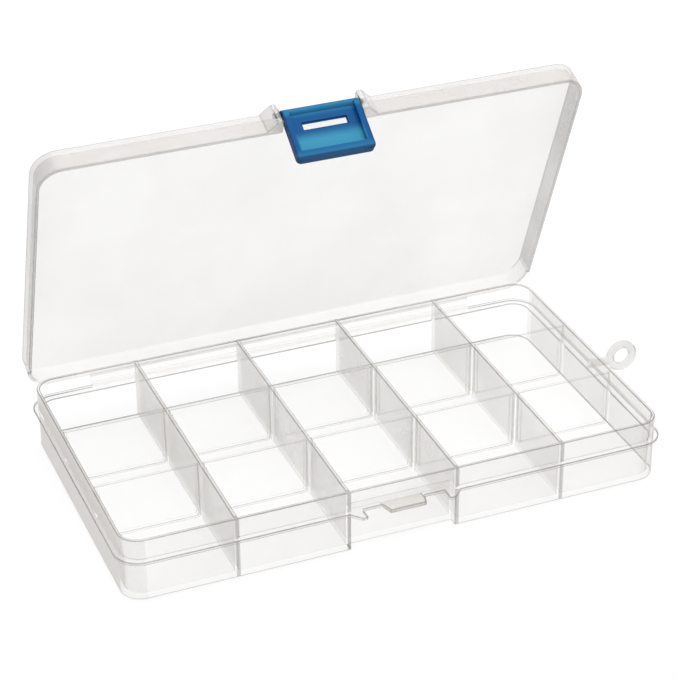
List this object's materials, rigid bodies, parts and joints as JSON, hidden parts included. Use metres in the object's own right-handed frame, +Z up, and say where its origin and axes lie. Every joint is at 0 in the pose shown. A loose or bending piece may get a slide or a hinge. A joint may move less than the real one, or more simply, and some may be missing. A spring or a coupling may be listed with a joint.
{
  "type": "compartment storage box",
  "caption": "Flat clear box for beads and small craft parts, with lift-out dividers, a hinged lid, a snap latch and a hang tab.",
  "frame": {"origin": "centre of the tray's underside, on the surface that it rests on", "axes": "+X towards the hang tab, -Y towards the latch, +Z up"},
  "size_m": [0.1882, 0.1078, 0.1131],
  "materials": {
    "tray_clear": "natural translucent polypropylene, moulded, slight milkiness",
    "lid_clear": "natural translucent polypropylene, moulded, clear panel",
    "divider_clear": "natural translucent polypropylene, moulded",
    "latch_blue": "tinted translucent blue polypropylene, moulded"
  },
  "bodies": {
    "tray": {"tray": "tray_clear", "hinge_web": "tray_clear"},
    "lid": {"lid": "lid_clear"},
    "latch": {"latch": "latch_blue"},
    "divider_front_1": {"divider_front_1": "divider_clear"},
    "divider_front_2": {"divider_front_2": "divider_clear"},
    "divider_front_3": {"divider_front_3": "divider_clear"},
    "divider_front_4": {"divider_front_4": "divider_clear"},
    "divider_front_5": {"divider_front_5": "divider_clear"},
    "divider_back_1": {"divider_back_1": "divider_clear"},
    "divider_back_2": {"divider_back_2": "divider_clear"},
    "divider_back_3": {"divider_back_3": "divider_clear"},
    "divider_back_4": {"divider_back_4": "divider_clear"},
    "divider_back_5": {"divider_back_5": "divider_clear"}
  },
  "joints": [
    {"name": "lid_hinge", "type": "hinge", "parent": "tray", "child": "lid", "pos_m": [0, 0.0506, 0.0153], "axis": [-1, 0, 0], "range_deg": [-68.4, 111.6]},
    {"name": "latch_pivot", "type": "hinge", "parent": "lid", "child": "latch", "pos_m": [0, 0.01569, 0.11054], "axis": [-1, 0, 0], "range_deg": [0, 120]},
    {"name": "divider_front_1_lift", "type": "slide", "parent": "tray", "child": "divider_front_1", "axis": [0, 0, 1], "range_m": [0, 0.02]},
    {"name": "divider_front_2_lift", "type": "slide", "parent": "tray", "child": "divider_front_2", "axis": [0, 0, 1], "range_m": [0, 0.02]},
    {"name": "divider_front_3_lift", "type": "slide", "parent": "tray", "child": "divider_front_3", "axis": [0, 0, 1], "range_m": [0, 0.02]},
    {"name": "divider_front_4_lift", "type": "slide", "parent": "tray", "child": "divider_front_4", "axis": [0, 0, 1], "range_m": [0, 0.02]},
    {"name": "divider_front_5_lift", "type": "slide", "parent": "tray", "child": "divider_front_5", "axis": [0, 0, 1], "range_m": [0, 0.02]},
    {"name": "divider_back_1_lift", "type": "slide", "parent": "tray", "child": "divider_back_1", "axis": [0, 0, 1], "range_m": [0, 0.02]},
    {"name": "divider_back_2_lift", "type": "slide", "parent": "tray", "child": "divider_back_2", "axis": [0, 0, 1], "range_m": [0, 0.02]},
    {"name": "divider_back_3_lift", "type": "slide", "parent": "tray", "child": "divider_back_3", "axis": [0, 0, 1], "range_m": [0, 0.02]},
    {"name": "divider_back_4_lift", "type": "slide", "parent": "tray", "child": "divider_back_4", "axis": [0, 0, 1], "range_m": [0, 0.02]},
    {"name": "divider_back_5_lift", "type": "slide", "parent": "tray", "child": "divider_back_5", "axis": [0, 0, 1], "range_m": [0, 0.02]}
  ]
}
